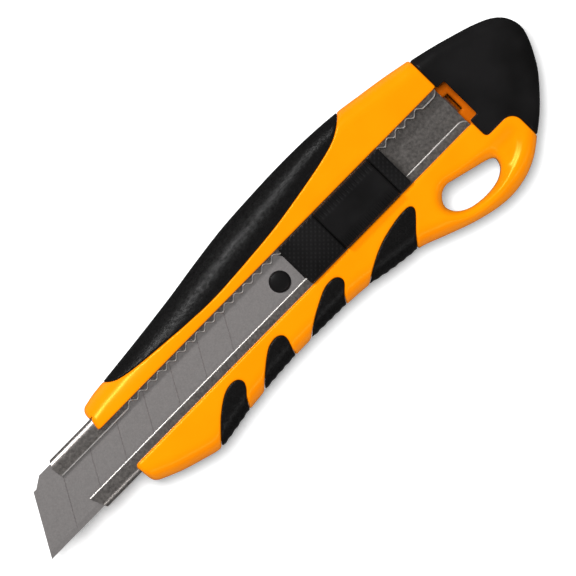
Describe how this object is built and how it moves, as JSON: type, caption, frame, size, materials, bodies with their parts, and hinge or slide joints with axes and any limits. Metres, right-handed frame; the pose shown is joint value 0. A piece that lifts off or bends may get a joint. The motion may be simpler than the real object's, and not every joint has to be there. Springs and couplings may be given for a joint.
{
  "type": "snap off knife",
  "caption": "Wide snap-off cutter: moulded handle with soft grips and a hanging loop, folded steel rail, locking thumb slider, segmented blade and pull-off end cap.",
  "frame": {"origin": "on the flat back, under the blade's centreline, level with the centre of the blade's hole while the slider is at rest", "axes": "+X along the knife to the blade's tip, +Y to the cutting edge and the finger side, +Z out of the face that holds the thumb slider"},
  "size_m": [0.1878, 0.0497, 0.0186],
  "materials": {
    "orange_plastic": "satin moulded ABS",
    "soft_grip": "matt thermoplastic rubber with a fine grain",
    "black_plastic": "fine matt moulding",
    "rail_steel": "rolled stainless sheet",
    "blade_steel": "satin ground carbon steel",
    "spring_steel": "plain spring steel"
  },
  "bodies": {
    "handle": {"handle_body": "orange_plastic", "spine_grip": "soft_grip", "finger_grip_1": "soft_grip", "finger_grip_2": "soft_grip", "finger_grip_3": "soft_grip", "finger_grip_4": "soft_grip", "blade_rail": "rail_steel"},
    "cap": {"end_cap": "black_plastic"},
    "slider": {"blade_carrier": "black_plastic", "blade": "blade_steel", "slider_base": "black_plastic", "button_spring": "spring_steel", "pawl_spring": "spring_steel"},
    "button": {"thumb_button": "black_plastic"},
    "pawl": {"lock_pawl": "spring_steel"}
  },
  "joints": [
    {"name": "blade_slide", "type": "slide", "parent": "handle", "child": "slider", "axis": [1, 0, 0], "range_m": [-0.0216, 0.0648]},
    {"name": "button_press", "type": "slide", "parent": "slider", "child": "button", "axis": [0, 0, -1], "range_m": [0, 0.00115], "stiffness_N_per_m": 1500, "springref_m": -0.0008, "deforming": ["button_spring"]},
    {"name": "pawl_release", "type": "slide", "parent": "slider", "child": "pawl", "axis": [0, 1, 0], "range_m": [0, 0.00115], "stiffness_N_per_m": 400, "springref_m": -0.0008, "deforming": ["pawl_spring"]},
    {"name": "cap_pull", "type": "slide", "parent": "handle", "child": "cap", "axis": [-1, 0, 0], "range_m": [0, 0.03]}
  ],
  "couplings": [
    {"joint": "pawl_release", "follows": "button_press", "ratio": 1}
  ]
}
